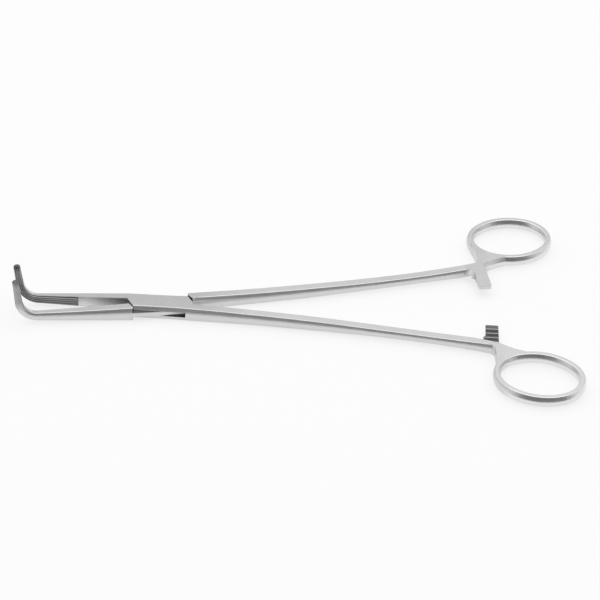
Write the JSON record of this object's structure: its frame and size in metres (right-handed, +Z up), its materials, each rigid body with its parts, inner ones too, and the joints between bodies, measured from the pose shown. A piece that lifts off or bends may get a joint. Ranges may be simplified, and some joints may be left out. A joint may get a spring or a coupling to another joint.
{
  "type": "right angle forceps",
  "caption": "Long ring-handled forceps with a box lock, a ratchet and slim grooved jaws that turn up at a right angle.",
  "frame": {"origin": "pivot axis where it meets the underside of the box lock", "axes": "+X towards the finger rings, +Z up along the pivot axis, the way the jaws turn up, +Y to the side of the upper ratchet arm"},
  "size_m": [0.2074, 0.1214, 0.0179],
  "materials": {
    "satin_steel": "satin, with brighter rounded edges",
    "pin_steel": "satin, ground flush"
  },
  "bodies": {
    "box_body": {"box_half": "satin_steel", "pivot_pin": "pin_steel"},
    "male_body": {"male_half": "satin_steel"}
  },
  "joints": [
    {"name": "box_lock", "type": "hinge", "parent": "box_body", "child": "male_body", "pos_m": [0, 0, 0], "axis": [0, 0, 1], "range_deg": [-8.9, 34.4]}
  ]
}
